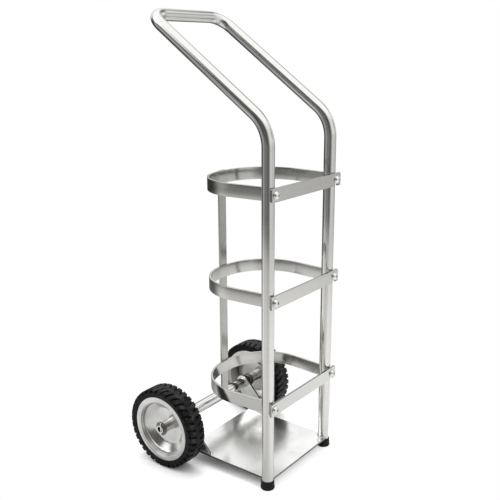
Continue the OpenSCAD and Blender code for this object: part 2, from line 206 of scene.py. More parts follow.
def half_frame():
    """Stations of the left half: places, headings, and the side vector, which is square to the
    heading. The tube leans back by an angle that grows round the bend, then turns inwards by an
    angle that grows round the corner. Each bend has a station every three degrees or less."""
    rise = np.linspace(UPRIGHT_FOOT, UPRIGHT_TOP, 40)[:-1]
    bend = np.linspace(0, LEAN, 24)
    run = np.linspace(0, HANDLE_SIDE, 20)[1:-1]
    corner = np.linspace(0, np.pi / 2, 31)
    lean = np.concatenate([0 * rise, bend, LEAN + 0 * run, LEAN + 0 * corner])
    inward = np.concatenate([0 * rise, 0 * bend, 0 * run, CORNER_R * (1 - np.cos(corner))])
    along = np.concatenate([run, HANDLE_SIDE + CORNER_R * np.sin(corner)])
    y = BEND_R * (1 - np.cos(lean))
    z = np.concatenate([rise, UPRIGHT_TOP + BEND_R * np.sin(lean[len(rise):])])
    y[-len(along):] += along * math.sin(LEAN)
    z[-len(along):] += along * math.cos(LEAN)
    place = np.stack([inward - UPRIGHT_X, y + FRONT_Y, z], -1)
    turn = np.concatenate([0 * rise, 0 * bend, 0 * run, corner])
    upward = np.stack([0 * lean, np.sin(lean), np.cos(lean)], -1)
    heading = np.cos(turn)[:, None] * upward + np.sin(turn)[:, None] * np.array([1.0, 0, 0])
    side = np.stack([0 * lean, np.cos(lean), -np.sin(lean)], -1)
    return place, heading, side


def whole_frame():
    """The left half, then its mirror image taken backwards, with the headings turned round."""
    place, heading, side = half_frame()
    flip = np.array([-1.0, 1, 1])
    place = np.concatenate([place, (place * flip)[::-1]])
    heading = np.concatenate([heading, -(heading * flip)[::-1]])
    side = np.concatenate([side, side[::-1]])
    return place, heading, side


place, heading, side = whole_frame()
tube_points = swept(place, side, np.cross(heading, side), circle_section(TUBE_R, 48))
frame_tube = as_piece(
    mesh_from("frame_tube", grid(tube_points, round_u=True, ends=True)),
    "frame", "polished_stainless", ["upright_left", "upright_right", "handle"],
)
print("tube path", round(float(travelled(place)[-2]), 3), "m")

# %% [markdown]
# ## Hoops
# Each hoop is flat bar, 30 by 5 mm. It has a short flat at the back, where the upright strip is
# welded on, a bend at each side of it, and straight sides that close in a little towards the
# uprights. Flat bar has softened edges, and those edges catch the light, so its section is a
# rectangle with rounded corners, carried round the hoop.

# %% Path of a hoop
HOOP_HALF, HOOP_FLAT, HOOP_DEPTH = 132 * MM, 24 * MM, 223 * MM
HOOP_R = HOOP_HALF - HOOP_FLAT / 2
STRIP_T, STRIP_H, STRIP_EDGE = 5 * MM, 30 * MM, 0.7 * MM
HOOP_Z = [205 * MM, 458 * MM, 693 * MM]
CLOSE_IN = math.asin(0.07584)  # the angle by which a side closes in, about four degrees


def hoop_path(z):
    """The right half runs from the upright along a straight side and round its bend by angle t
    to the flat back. The left half is its mirror image, taken backwards. The second array
    points away from the hoop's middle, square to the strip."""
    turn = np.linspace(-CLOSE_IN, np.pi / 2, 49)
    side_run = (HOOP_DEPTH - HOOP_R - HOOP_R * math.sin(CLOSE_IN)) / math.cos(CLOSE_IN)
    angle = np.concatenate([[turn[0]] * 6, turn])
    ahead = np.concatenate([np.linspace(side_run, 0, 7)[:-1], 0 * turn])
    out = np.stack([np.cos(angle), np.sin(angle), 0 * angle], -1)
    tangent = np.stack([-np.sin(angle), np.cos(angle), 0 * angle], -1)
    middle = np.array([HOOP_FLAT / 2, FRONT_Y + HOOP_DEPTH - HOOP_R, z])
    right = middle + (HOOP_R - STRIP_T / 2) * out - ahead[:, None] * tangent
    flip = np.array([-1.0, 1, 1])
    return np.concatenate([right, (right * flip)[::-1]]), np.concatenate([out, (out * flip)[::-1]])


for name, z in zip(["hoop_low", "hoop_middle", "hoop_top"], HOOP_Z):
    path, out = hoop_path(z)
    up = np.broadcast_to([0.0, 0, 1], out.shape)
    points = swept(path, out, up, rounded_section(STRIP_T, STRIP_H, STRIP_EDGE))
    mesh = mesh_from(name.replace("hoop", "rolled_hoop"), grid(points, round_u=True, ends=True))
    as_piece(mesh, "frame", "brushed_stainless", [name])

# %% [markdown]
# ## Tyres
# The tyre is solid rubber with a smooth side and two rows of slanted blocks, set half a pitch
# apart, that run from the shoulder almost to the middle of the tread. Cutting grooves with
# booleans would leave ragged meshes. Here the tyre is one grid: its rows follow the section, its
# columns slant with the grooves, and the groove depth is a function of the two.

# %% Section of a tyre
SIDES = (("left", -1), ("right", 1))
WHEEL_R, TYRE_HALF = 100 * MM, 27 * MM
AXLE_Y, WHEEL_X = FRONT_Y + 262 * MM, 178 * MM


def smooth(low, high, x):
    """0 below low, 1 above high, and a soft S between them."""
    t = np.clip((x - low) / (high - low), 0, 1)
    return t * t * (3 - 2 * t)


def tyre_section(count=60):
    """(distance from the wheel's middle plane, radius) along the outside, from lip to lip: a
    small swell beside the lip, a flat side, a shoulder of 7 mm and a crown that is nearly flat."""
    swell = [(24.6, 81.0), (25.6, 81.4), (26.5, 82.4), (26.8, 83.6), (26.4, 84.6)]
    side = [(26.4, 85.8), (26.9, 87.4), (27, 90), (27, 93), (26.5, 95.6)]
    crown = [(25.2, 97.8), (23.0, 99.3), (20, 99.8), (12, 100), (0, 100)]
    half = np.array(swell + side + crown) * MM
    whole = np.vstack([half, half[-2::-1] * (-1, 1)])
    distance = travelled(whole)[: len(whole)]
    wanted = np.linspace(0, distance[-1], count)
    return np.stack([np.interp(wanted, distance, whole[:, k]) for k in (0, 1)], -1)


# %% Tread grid
LUGS = 36
GROOVE_DEPTH = 4.2 * MM
GROOVE_SLANT = 0.56  # in pitches, from the middle of the tread to its side
GROOVE_WALL = (0.13, 0.18)  # in pitches from the middle of a groove: its floor ends, a lug begins
PLAIN_RIB = (5 * MM, 7.5 * MM)  # from the middle of the tread: the rib ends, the grooves are deep
SHOULDER = (90.5 * MM, 94.5 * MM)  # radii at which the grooves begin and are deep


def tyre_points(side_sign):
    """Place = axle + radius * (cos, sin) of the turn, pushed inwards along the section's normal by
    the groove depth. The turn slants with the distance from the middle of the tread, and the
    columns crowd together at the groove's walls, six to each half pitch."""
    section = tyre_section()
    across, radius = section[:, 0], section[:, 1]
    tangent = np.gradient(section, axis=0)
    tangent /= np.linalg.norm(tangent, axis=1)[:, None]
    normal = np.stack([tangent[:, 1], -tangent[:, 0]], -1)
    facing_out = 2 * normal[:, 1] + across / TYRE_HALF * normal[:, 0]
    normal *= np.sign(facing_out)[:, None]
    steps = np.array([0, 0.13, 0.18, 0.25, 0.32, 0.37])
    pitch = (np.arange(2 * LUGS)[:, None] / 2 + steps[None]).ravel()
    row_shift = np.where(across < 0, 0.5, 0.0)
    from_groove = np.abs((pitch[:, None] + row_shift[None] + 0.5) % 1 - 0.5)
    groove = 1 - smooth(*GROOVE_WALL, from_groove)
    reach = smooth(*PLAIN_RIB, np.abs(across)) * smooth(*SHOULDER, radius)
    depth = GROOVE_DEPTH * groove * reach[None]
    slant = GROOVE_SLANT * np.abs(across) / TYRE_HALF
    turn = side_sign * 2 * np.pi * (pitch[:, None] + slant[None]) / LUGS
    a = across[None] - depth * normal[None, :, 0]
    r = radius[None] - depth * normal[None, :, 1]
    return on_axle(a, r, turn, side_sign)


def on_axle(a, r, turn, side_sign):
    """Places at distance a outwards from a wheel's middle plane and r from the axle."""
    x = side_sign * (WHEEL_X + a + 0 * turn)
    return np.stack([x, AXLE_Y + r * np.cos(turn), WHEEL_R + r * np.sin(turn)], -1)


for name, side_sign in SIDES:
    tread = tyre_points(side_sign)
    seat = np.array([(-22.4, 81), (-22.4, 69.6), (22.4, 69.6), (22.4, 81)]) * MM  # in the rim
    turn = np.arctan2(tread[:, :1, 2] - WHEEL_R, tread[:, :1, 1] - AXLE_Y)
    inner = on_axle(seat[None, :, 0], seat[None, :, 1], turn, side_sign)
    tyre = grid(np.concatenate([tread, inner], 1), True, True)
    mesh = mesh_from("moulded_tyre_" + name, tyre)
    as_piece(mesh, "wheel_" + name, "tyre_rubber", ["tyre_" + name])

# %% [markdown]
# ## Rims and discs
# The rim is rolled from sheet: two flat lips round a deep well. The disc inside it is spun, so
# nothing on it has a sharp corner. Both are profiles turned on the axle, like work on a lathe,
# and the bends between flats are small arcs that hold a bright line of light.

# %% Profiles with rounded bends
def rounded_profile(corners, radii, count=6):
    """A closed outline whose corners are replaced by curves: each curve runs between points on the
    two edges, pulled towards the corner as a quadratic curve is."""
    corners = np.array(corners, float) * MM
    radii = np.broadcast_to(np.array(radii, float) * MM, len(corners))
    before, after = np.roll(corners, 1, 0), np.roll(corners, -1, 0)
    to_before = (before - corners) / np.linalg.norm(before - corners, axis=1)[:, None]
    to_after = (after - corners) / np.linalg.norm(after - corners, axis=1)[:, None]
    start, end = corners + radii[:, None] * to_before, corners + radii[:, None] * to_after
    t = np.linspace(0, 1, count)[None, :, None]
    start, corners, end = start[:, None], corners[:, None], end[:, None]
    curve = (1 - t) ** 2 * start + 2 * t * (1 - t) * corners + t ** 2 * end
    return curve.reshape(-1, 2)


def lathe(profile, side_sign, count=128):
    """A closed profile of (distance from the wheel's middle plane, radius), turned round the
    axle."""
    turn = np.linspace(0, 2 * np.pi, count, endpoint=False)
    points = on_axle(profile[:, 0, None], profile[:, 1, None], turn[None], side_sign)
    return grid(points, True, True)


# %% Rims and discs
# Corners as (distance from the wheel's middle plane, radius) in millimetres, then how far from
# each corner its bend begins
RIM = [
    (-24.5, 81), (-24.5, 72.4), (-23.7, 71.4), (-23.7, 67.5),
    (23.7, 67.5), (23.7, 71.4), (24.5, 72.4), (24.5, 81),
    (22.5, 81), (22.5, 69.5), (-22.5, 69.5), (-22.5, 81),
]
RIM_ROUND = [0.9, 0.5, 0.5, 1.8, 1.8, 0.5, 0.5, 0.9, 0.9, 1.2, 1.2, 0.9]
DISC = [
    (-3.5, 13.5), (-3.5, 44), (9.5, 67.5), (19.5, 67.5),
    (19.5, 65.5), (11.5, 65.5), (-1.5, 44), (-1.5, 13.5),
]
DISC_ROUND = [0.1, 5, 5, 0.4, 0.9, 4, 5, 0.1]

for name, side_sign in SIDES:
    body = "wheel_" + name
    rim = lathe(rounded_profile(RIM, RIM_ROUND), side_sign)
    as_piece(mesh_from("rolled_rim_" + name, rim), body, "wheel_steel", ["rim_" + name])
    disc = lathe(rounded_profile(DISC, DISC_ROUND), side_sign)
    as_piece(mesh_from("spun_disc_" + name, disc), body, "wheel_steel", ["disc_" + name])

# %% [markdown]
# ## Foot caps
# Each foot ends in a moulded rubber cap that grips the tube. Its sole is a little wider than its
# neck, so that it stands firm, and both its edges are round, because a sharp edge would tear
# when the cap is pulled out of its mould. It is a cup turned about the tube's own axis.

# %% Caps
# (distance from the tube's axis, height) in millimetres: the sole, the outside, the lip, the bore
SOLE = [(12.6, 0), (14.6, 0.2), (15.8, 0.9), (16.5, 2.2), (16.7, 4.0)]
OUTSIDE = [(16.4, 6.5), (15.9, 9.5), (15.7, 13), (15.6, 20.4)]
LIP = [(15.4, 21.3), (14.9, 21.9), (14.3, 21.9), (14.05, 21.4)]
BORE = [(14.05, 8), (14.0, 5), (13.6, 4.2)]
CAP_R, CAP_Z = (np.array(SOLE + OUTSIDE + LIP + BORE) * MM).T[:, None]

for name, side_sign in SIDES:
    turn = np.linspace(0, 2 * np.pi, 64, endpoint=False)[:, None]
    x, y = side_sign * UPRIGHT_X + CAP_R * np.cos(turn), FRONT_Y + CAP_R * np.sin(turn)
    cup = np.stack([x, y, CAP_Z + 0 * turn], -1)
    mesh = mesh_from("moulded_cap_" + name, grid(cup, round_u=True, ends=True))
    as_piece(mesh, "frame", "rubber", ["foot_cap_" + name])

# %% [markdown]
# ## Welds
# The frame is welded with a fine filler wire, and each joint keeps a small ripple where one
# puddle of metal set after the next. A bead is a thin round bar, half sunk in the corner, whose
# radius swells and shrinks along it, so it is swept like the tube but with a changing radius.

# %% Beads
def bead(path, up, size, closed=False, ripple=1.6 * MM, count=10):
    """Place = path + r * (cos a * side + sin a * lift), where r = size * (0.86 + 0.14 * |cos|)
    and this cosine goes through half a turn for each ripple. An open bead tapers to its ends."""
    heading = np.gradient(path, axis=0)
    if closed:
        heading = np.roll(path, -1, 0) - np.roll(path, 1, 0)
    heading /= np.linalg.norm(heading, axis=1)[:, None]
    side = np.cross(heading, np.broadcast_to(up, heading.shape))
    side /= np.linalg.norm(side, axis=1)[:, None]
    lift = np.cross(side, heading)
    along = travelled(path)[: len(path)]
    radius = size * (0.86 + 0.14 * np.abs(np.cos(np.pi * along / ripple)))
    if not closed:
        radius = radius * np.sqrt(smooth(-0.3 * MM, 2 * MM, np.minimum(along, along[-1] - along)))
    turn = np.linspace(0, 2 * np.pi, count, endpoint=False)[:, None, None]
    points = path + radius[:, None] * (np.cos(turn) * side + np.sin(turn) * lift)
    return grid(points, round_u=True, round_v=closed, ends=not closed)


def straight(start, end, spacing=0.4 * MM):
    """Points from start to end, a fraction of a ripple apart."""
    start, end = np.array(start), np.array(end)
    count = int(np.linalg.norm(end - start) / spacing) + 2
    return start + np.linspace(0, 1, count)[:, None] * (end - start)


def arc(middle, radius, first, last, axis, spacing=0.4 * MM):
    """Points round a circle about the x or z axis, between two angles in degrees."""
    count = int(math.radians(abs(last - first)) * radius / spacing) + 2
    turn = np.radians(np.linspace(first, last, count, endpoint=abs(last - first) < 360))
    one, two = radius * np.cos(turn), radius * np.sin(turn)
    offset = [0 * turn, one, two] if axis == "x" else [one, two, 0 * turn]
    return np.array(middle) + np.stack(offset, -1)


# %% [markdown]
# The beads go where the real joints are: round the back of each foot of the tube on the base
# plate, up both sides of each hoop's ends, beside the rear strip at each hoop, along the foot of
# each gusset, and round the axle tube on both faces of each gusset.

# %% Where the welds are
PLATE_TOP, PLATE_X, PLATE_BACK = 27 * MM, 127.5 * MM, FRONT_Y + 243 * MM
STRIP_SIDES = [(125.7 * MM, 13.5 * MM), (120.3 * MM, 13.9 * MM)]  # at a hoop's end, seen from above
foot_beads, end_beads, strip_beads, gusset_beads = [], [], [], []
for side_sign in (-1, 1):
    upright = (side_sign * UPRIGHT_X, FRONT_Y, PLATE_TOP)
    first, last = (68, 236) if side_sign > 0 else (112, -56)  # the part of the foot on the plate
    foot_beads.append(bead(arc(upright, TUBE_R + 0.2 * MM, first, last, "z"), (0, 0, 1), 1.7 * MM))
    for z in HOOP_Z:
        low, high = z - 14 * MM, z + 14 * MM
        for x, y in STRIP_SIDES:
            place = (side_sign * x, FRONT_Y + y)
            end_beads.append(bead(straight((*place, low), (*place, high)), (0, 1, 0), 1.5 * MM))
        place = (side_sign * 12.5 * MM, FRONT_Y + 223.1 * MM)
        strip_beads.append(bead(straight((*place, low), (*place, high)), (0, 1, 0), 1.6 * MM))
    inner_x, outer_x = side_sign * (PLATE_X - 5 * MM), side_sign * PLATE_X
    toe = (inner_x, PLATE_BACK - 70 * MM, PLATE_TOP)
    heel = (inner_x, PLATE_BACK - 2 * MM, PLATE_TOP)
    gusset_beads.append(bead(straight(toe, heel), (0, 0, 1), 1.8 * MM))
    for x in (inner_x, outer_x):
        ring = arc((x, AXLE_Y, WHEEL_R), 14.2 * MM, 0, 360, "x")
        gusset_beads.append(bead(ring, (side_sign, 0, 0), 1.7 * MM, closed=True))

for name, beads in (
    ("welds_feet", foot_beads), ("welds_hoops", end_beads),
    ("welds_strip", strip_beads), ("welds_gussets", gusset_beads),
):
    as_piece(mesh_from(name, *beads), "frame", "brushed_stainless")

# %% [markdown]
# ## Softened edges
# Bars, plate, strip and gussets are cut from bar and sheet and then deburred, so every edge has
# a narrow bright line. Their solids are right, and only the edges are too sharp. A Weld modifier
# joins their loose triangles, and a Bevel modifier of a fraction of a millimetre rounds the edges.

# %% Edges of bars and plates
def soften(name, width):
    """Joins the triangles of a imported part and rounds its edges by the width, in two steps."""
    part = nodes[name]
    part.modifiers.new("joined", "WELD").merge_threshold = 0.005 * MM
    edge = part.modifiers.new("deburred", "BEVEL")
    edge.width, edge.segments, edge.limit_method = width, 2, "ANGLE"
    edge.angle_limit = math.radians(40)
    edge.miter_outer = "MITER_ARC"
    edge.use_clamp_overlap = True


BARS_AND_PLATES = [
    "bar_low", "bar_middle", "bar_top", "base_plate", "rear_strip", "gusset_left", "gusset_right",
]
for name in BARS_AND_PLATES:
    soften(name, 0.6 * MM)
for name in ("screw_washers", "axle_washers"):
    soften(name, 0.25 * MM)
print(len(BARS_AND_PLATES), "bars and plates deburred")

# %% [markdown]
# ## Light and the studio
# Polished steel shows whatever stands round it, so the studio matters as much as the metal. A
# product studio has white walls with a few dark flags between them, and these flags draw the grey
# bands down each tube and round each hoop. Panels of geometry would do it too, but flags painted
# into the world are quicker to move and never stand in another view's way.

# %% Node helpers
def feed(tree, made, inputs):
    """Gives each input of a node a fixed value, or the value of a socket."""
    for key, value in inputs.items():
        if isinstance(value, bpy.types.NodeSocket):
            tree.links.new(value, made.inputs[key])
        else:
            made.inputs[key].default_value = value


def node(tree, kind, inputs=None, **settings):
    """A new node with its settings and inputs."""
    made = tree.nodes.new(kind)
    for key, value in settings.items():
        setattr(made, key, value)
    feed(tree, made, inputs or {})
    return made


def math_node(tree, operation, first, second=0.0):
    """One step of arithmetic between two sockets or numbers."""
    return node(tree, "ShaderNodeMath", {0: first, 1: second}, operation=operation).outputs[0]


def vector_node(tree, operation, first, second=(0, 0, 0)):
    """One step between two vectors, or a vector and its scale. Dot products and lengths are
    numbers, and every other result is a vector."""
    inputs = {0: first, "Scale" if operation == "SCALE" else 1: second}
    made = node(tree, "ShaderNodeVectorMath", inputs, operation=operation)
    return made.outputs["Value" if operation in ("DOT_PRODUCT", "LENGTH") else "Vector"]


def ramp(tree, value, low, high, out_low=0.0, out_high=1.0):
    """A soft step: out_low below low, out_high above high."""
    ends = {"From Min": low, "From Max": high, "To Min": out_low, "To Max": out_high}
    made = node(
        tree, "ShaderNodeMapRange", {"Value": value, **ends}, interpolation_type="SMOOTHSTEP"
    )
    return made.outputs["Result"]


def mixed(tree, factor, low, high):
    """low where the factor is 0 and high where it is 1."""
    inputs = {"Factor": factor, "A": low, "B": high}
    return node(tree, "ShaderNodeMix", inputs, data_type="FLOAT").outputs["Result"]


def shade(tree, factor, dark, light):
    """A colour on the line between two tones, which a factor beyond 0 or 1 carries further."""
    inputs = {"Factor": factor, 6: (*dark, 1), 7: (*light, 1)}
    return node(tree, "ShaderNodeMix", inputs, data_type="RGBA", clamp_factor=False).outputs[2]


# %% Flags
# An azimuth is in degrees: 0 is behind the camera, 90 to its right and 180 beyond the cart. A flag
# stands between two heights, given as sines of their angles above the horizon. near and far say
# how much of its darkness is painted as shade on the floor, for reflections, beside the cart and
# 0.9 m away.
Flag = namedtuple("Flag", "azimuth half_width darkness bottom top near far")
FLAGS = [
    Flag(-30, 60, 0.74, -2, 0.68, 0.30, 0.28),  # the dark half of every tube
    Flag(-28, 42, 0.50, 0.0, 0.64, 0.0, 0.0),  # a darker core on the leaning handle
    Flag(8, 30, 0.45, -2, 0.50, 0.30, 0.28),  # the middle band of tubes and hoops
    Flag(80, 20, 0.12, -2, 0.40, 0.30, 0.50),  # a faint band to the right of it
    Flag(142, 45, 0.42, -2, 0.05, 0.30, 0.60),  # the right edge of each upright
    Flag(-150, 58, 0.94, -2, 0.17, 0.62, 0.90),  # the dark line down its left edge
    Flag(-72, 36, 0.70, 0.0, 0.36, 0.0, 0.0),  # the left side of the wheels' dishes
    Flag(-108, 24, 0.75, 0.05, 0.45, 0.0, 0.0),  # the edge of the bright fan in them
    Flag(-95, 36, 0.45, -2, -0.04, 0.01, 0.01),  # the underside of the handle
    Flag(143, 26, 0.75, 0.40, 0.70, 0.0, 0.0),  # the thin line along its upper edge
    Flag(105, 24, 0.50, 0.14, 0.40, 0.0, 0.0),  # the band along its cross bar
]


def level_direction(azimuth):
    """The level direction (x, y) of an azimuth in degrees."""
    turn = HEADING + math.pi - math.radians(azimuth)
    return math.sin(turn), math.cos(turn)


def past_flags(tree, toward, strength):
    """What the flags leave of the walls' brightness in a level direction: the product over the
    flags of 1 - darkness * strength * (how far the direction is inside the flag). The outer two
    thirds of a flag's half width are its soft edge."""
    walls = 1.0
    for flag in FLAGS:
        facing = vector_node(tree, "DOT_PRODUCT", toward, (*level_direction(flag.azimuth), 0))
        edges = [math.cos(math.radians(share * flag.half_width)) for share in (1.0, 0.35)]
        inside = ramp(tree, facing, *edges, 0.0, flag.darkness)
        inside = math_node(tree, "MULTIPLY", inside, strength(flag))
        walls = math_node(tree, "MULTIPLY", math_node(tree, "SUBTRACT", 1.0, inside), walls)
    return walls


print(len(FLAGS), "flags in the studio")

# %% World
# The walls have a brightness of about 1, the ceiling is brighter and all below the horizon is
# duller. A round window high on the left puts the bright fan into the buffed wheels. The camera
# itself sees plain white.
WINDOW_AZIMUTH, WINDOW_RISE, WINDOW_STRENGTH = -84, 0.72, 1.8

world = bpy.data.worlds.new("studio")
bpy.context.scene.world = world
world.use_nodes = True
sky = world.node_tree
sky.nodes.clear()
direction = node(sky, "ShaderNodeTexCoord").outputs["Generated"]
around = vector_node(sky, "NORMALIZE", vector_node(sky, "MULTIPLY", direction, (1, 1, 0)))
height = node(sky, "ShaderNodeSeparateXYZ", {0: direction}).outputs["Z"]


def at_height(flag):
    """1 between a flag's two heights, and soft beyond them."""
    above = ramp(sky, height, flag.bottom - 0.08, flag.bottom + 0.08)
    below = ramp(sky, height, flag.top - 0.1, flag.top + 0.1, 1.0, 0.0)
    return math_node(sky, "MULTIPLY", above, below)


walls = past_flags(sky, around, at_height)
below_horizon = ramp(sky, height, -0.05, 0.12, 0.80, 1.0)
ceiling = ramp(sky, height, 0.50, 0.78, 1.05, 1.42)
window = Vector((*level_direction(WINDOW_AZIMUTH), WINDOW_RISE)).normalized()
to_window = vector_node(sky, "DOT_PRODUCT", direction, tuple(window))
glow = ramp(sky, to_window, 0.90, 0.97, 0.0, WINDOW_STRENGTH)
room = math_node(sky, "MULTIPLY", math_node(sky, "MULTIPLY", below_horizon, ceiling), walls)
room = math_node(sky, "ADD", room, glow)
rays = node(sky, "ShaderNodeLightPath")
seen = mixed(sky, rays.outputs["Is Camera Ray"], room, 1.0)
background = node(sky, "ShaderNodeBackground", {"Color": (1, 1, 1, 1), "Strength": seen})
node(sky, "ShaderNodeOutputWorld", {"Surface": background.outputs[0]})
print(len(sky.nodes), "nodes in the world")

# %% [markdown]
# ## Floor
# The cart stands on a sweep of white paper. The camera sees it plain white, apart from the soft
# shadow that the cart throws on it close by. Metal sees the paper with painted shade: it gets
# greyer with distance and carries painted shadows of the flags, because the floor fills the lower
# half of every reflection. One disc does both: its colour depends on the kind of ray that reaches
# it.

# %% Floor
FLOOR_R = 2.8
SHADOW_MIDDLE, SHADOW_HALF, SHADOW_FADE = (0, 0.02, 0), (0.25, 0.15, 1.0), 0.07
TO_CAMERA = 1.2  # brightness that camera rays see, and metal sees less

rim = np.pad(circle_section(1, 96), ((0, 0), (0, 1)))  # with a height of 0
rings = np.linspace(0.001, FLOOR_R, 12)[:, None] * rim[:, None]
floor = bpy.data.objects.new("floor", mesh_from("floor", grid(rings, round_u=True)))
bpy.context.scene.collection.objects.link(floor)
floor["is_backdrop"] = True
print("floor", 2 * FLOOR_R, "m across")

# %% Paper
paper = bpy.data.materials.new("white_sweep")
paper.use_nodes = True
tree = paper.node_tree
tree.nodes.clear()
rays = node(tree, "ShaderNodeLightPath").outputs
place_on = node(tree, "ShaderNodeTexCoord").outputs["Object"]
toward = vector_node(tree, "NORMALIZE", place_on)
distance = vector_node(tree, "LENGTH", place_on)


def on_paper(flag):
    """The share of a flag's darkness painted as shade on the paper: from near beside the cart to
    far at 0.9 m, and all of it where the paper ends."""
    if flag.near == 0:
        return 0.0
    beyond = ramp(tree, distance, 1.9, FLOOR_R, 0.0, 1.0 - flag.far)
    return math_node(tree, "ADD", ramp(tree, distance, 0.15, 0.9, flag.near, flag.far), beyond)


# Painted shade for glossy rays: the paper greys with distance and carries the flags' painted
# shadows.
further_off = ramp(tree, distance, 0.6, 2.4, 0.84, 0.68)
in_metal = math_node(tree, "MULTIPLY", past_flags(tree, toward, on_paper), further_off)
in_metal = mixed(tree, rays["Is Glossy Ray"], 1.0, in_metal)
brightness = mixed(tree, rays["Is Camera Ray"], in_metal, TO_CAMERA)
tone = shade(tree, brightness, (0, 0, 0), (0.9, 0.9, 0.9))
matt = node(tree, "ShaderNodeBsdfDiffuse", {"Color": tone}).outputs[0]

# %% Where the shadow shows
# The distance outside a box is the length of max(|place - middle| - half, 0). The paper keeps
# its shadow inside a box at the cart's foot and fades to plain white just outside it.
from_middle = vector_node(tree, "SUBTRACT", place_on, SHADOW_MIDDLE)
past = vector_node(tree, "SUBTRACT", vector_node(tree, "ABSOLUTE", from_middle), SHADOW_HALF)
outside = vector_node(tree, "LENGTH", vector_node(tree, "MAXIMUM", past, (0, 0, 0)))
fade = ramp(tree, outside, 0.0, SHADOW_FADE)
shown = math_node(tree, "MULTIPLY", fade, rays["Is Camera Ray"])
white = node(tree, "ShaderNodeEmission").outputs[0]
sweep = node(tree, "ShaderNodeMixShader", {0: shown, 1: matt, 2: white}).outputs[0]
node(tree, "ShaderNodeOutputMaterial", {"Surface": sweep})
floor.data.materials.append(paper)
print(len(tree.nodes), "nodes in the paper")

# %% [markdown]
# ## Lamp
# The world lights the cart from all sides. One square soft box above it adds the soft shadow
# under plate and wheels. It's hidden from reflections, where it would show as a bright square.

# %% Soft box
soft_box = bpy.data.lights.new("overhead", "AREA")
soft_box.size, soft_box.energy = 1.4, 34
overhead = bpy.data.objects.new("overhead", soft_box)
overhead.location = (0.5, 0.3, 2.6)
overhead.rotation_mode = "QUATERNION"
aim = Vector((0, 0, 0.45)) - overhead.location
overhead.rotation_quaternion = aim.to_track_quat("-Z", "Y")
overhead.visible_glossy = False
bpy.context.scene.collection.objects.link(overhead)
print(overhead.name, soft_box.energy, "W")

# %% [markdown]
# ## Shared effects
# The same few effects come back in many finishes, so each one is a shader node group: the grain
# that a belt leaves on flat bar, the rings that a lathe or buffing wheel leaves on a turned part,
# marks of handling, a painted shade on the edges of bar and sheet, the way in which all of these
# change a steel, and the skin of moulded rubber. A group gives only values, and each material
# decides what they do to its own colour, roughness and bump.

# %% A group with named sockets
def effect(name, inputs, outputs):
    """An empty node group and the sockets of its inputs. inputs maps a name to its usual value, a
    vector or a number, and outputs lists the names of the numbers that it gives."""
    group = bpy.data.node_groups.new(name, "ShaderNodeTree")
    for key, value in inputs.items():
        kind = "NodeSocketVector" if isinstance(value, tuple) else "NodeSocketFloat"
        socket = group.interface.new_socket(key, in_out="INPUT", socket_type=kind)
        socket.default_value = value
    for key in outputs:
        group.interface.new_socket(key, in_out="OUTPUT", socket_type="NodeSocketFloat")
    return group, node(group, "NodeGroupInput").outputs


def noise(tree, place, scale, detail=2.0, roughness=0.5, distortion=0.0):
    """Values of a noise texture, from about 0.2 to 0.8."""
    inputs = {"Scale": scale, "Detail": detail, "Roughness": roughness, "Distortion": distortion}
    return node(tree, "ShaderNodeTexNoise", {"Vector": place, **inputs}).outputs["Fac"]


# %% Brushed grain
# Noise stretched along the belt's direction. Along each axis there are about three fine streaks
# to a length of 1 / Stretch, and broad ones are ten times as wide, so the grain runs along the
# axis with the smallest number.
brushed_grain, given = effect(
    "Brushed grain", {"Place": (0, 0, 0), "Stretch": (900, 12, 900)}, ["Fine", "Broad"]
)
tree = brushed_grain
lines = vector_node(tree, "MULTIPLY", given["Place"], given["Stretch"])
node(tree, "NodeGroupOutput", {
    "Fine": noise(tree, lines, 3.0, 3.0, 0.65), "Broad": noise(tree, lines, 0.3, 2.0, 0.5),
})
print(brushed_grain.name, len(tree.nodes), "nodes")

# %% Turned rings
# The place is split into its distance from the axle, which makes the rings, and its direction
# from the axle, which changes slowly round each ring and joins up with itself after a full turn.
turned_rings, given = effect(
    "Turned rings", {"Place": (0, 0, 0), "Rings": 1200.0, "Change": 1.4}, ["Fine", "Broad"]
)
tree = turned_rings
from_axle = vector_node(tree, "MULTIPLY", given["Place"], (0, 1, 1))
slow = vector_node(tree, "SCALE", vector_node(tree, "NORMALIZE", from_axle), given["Change"])
ring = math_node(tree, "MULTIPLY", vector_node(tree, "LENGTH", from_axle), given["Rings"])
along_x = node(tree, "ShaderNodeCombineXYZ", {"X": ring}).outputs[0]
on_ring = vector_node(tree, "ADD", slow, along_x)
wide_ring = vector_node(tree, "MULTIPLY", on_ring, (0.08, 1, 1))
node(tree, "NodeGroupOutput", {
    "Fine": noise(tree, on_ring, 1.0, 3.0, 0.6), "Broad": noise(tree, wide_ring, 1.0, 2.0, 0.5),
})
print(turned_rings.name, len(tree.nodes), "nodes")

# %% Handling marks
# Smears are soft blots some centimetres across. Scratches are the thin lines where a stretched
# noise crosses its middle value, kept only where a second noise is high.
handling_marks, given = effect(
    "Handling marks", {"Place": (0, 0, 0), "Size": 1.0}, ["Smears", "Scratches"]
)
tree = handling_marks
sized = vector_node(tree, "SCALE", given["Place"], given["Size"])
hair = noise(tree, vector_node(tree, "MULTIPLY", sized, (90, 34, 60)), 1.0, 1.0, 0.4, 0.8)
off_middle = math_node(tree, "ABSOLUTE", math_node(tree, "SUBTRACT", hair, 0.5))
thin = ramp(tree, off_middle, 0.0, 0.006, 1.0, 0.0)
patches = ramp(tree, noise(tree, sized, 22.0, 1.0), 0.52, 0.60)
node(tree, "NodeGroupOutput", {
    "Smears": ramp(tree, noise(tree, sized, 14.0, 3.0, 0.55, 0.6), 0.42, 0.66),
    "Scratches": math_node(tree, "MULTIPLY", thin, patches),
})
print(handling_marks.name, len(tree.nodes), "nodes")
